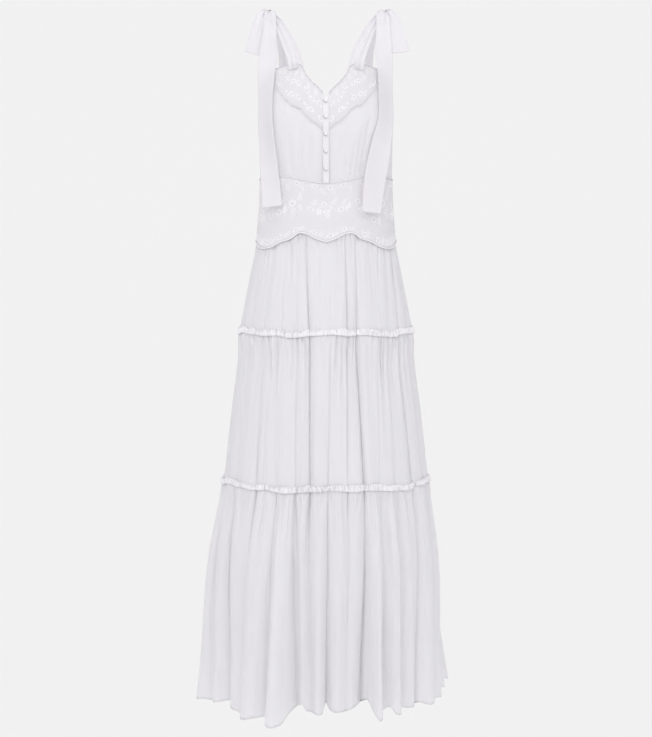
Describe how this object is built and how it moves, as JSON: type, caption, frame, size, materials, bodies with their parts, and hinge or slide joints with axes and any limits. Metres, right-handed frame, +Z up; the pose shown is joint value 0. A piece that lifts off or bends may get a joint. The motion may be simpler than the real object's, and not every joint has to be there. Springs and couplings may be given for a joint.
{
  "type": "maxi dress",
  "caption": "White cotton maxi dress, filled out as worn, with ribbon ties knotted at the shoulders, a lace V yoke, a buttoned placket, a shaped lace waistband and gathered tiers with frills.",
  "frame": {"origin": "midway between the two shoulder knots, level with the top of the wearer's shoulders, which carry the dress", "axes": "+Z up from the hem to the shoulders, the front faces -Y, +X towards the wearer's left"},
  "size_m": [0.5172, 0.4431, 1.3782],
  "materials": {
    "cotton": "matte",
    "ribbon": "matte",
    "lace": "matte",
    "button": "satin"
  },
  "bodies": {
    "root": {"bodice_front_left": "cotton", "bodice_front_right": "cotton", "bodice_back": "cotton", "lace_yoke_left": "lace", "lace_yoke_right": "lace", "placket": "cotton", "button_1": "button", "button_2": "button", "button_3": "button", "button_4": "button", "button_5": "button", "waistband_front": "lace", "waistband_back": "lace", "tier_1_front": "cotton", "tier_1_back": "cotton", "tier_2_front": "cotton", "tier_2_back": "cotton", "tier_3_front": "cotton", "tier_3_back": "cotton", "frill_1": "cotton", "frill_2": "cotton", "knot_left": "ribbon", "left_long_tail": "ribbon", "left_short_tail": "ribbon", "front_strap_left": "ribbon", "back_strap_left": "ribbon", "knot_right": "ribbon", "right_long_tail": "ribbon", "right_short_tail": "ribbon", "front_strap_right": "ribbon", "back_strap_right": "ribbon"}
  },
  "joints": []
}
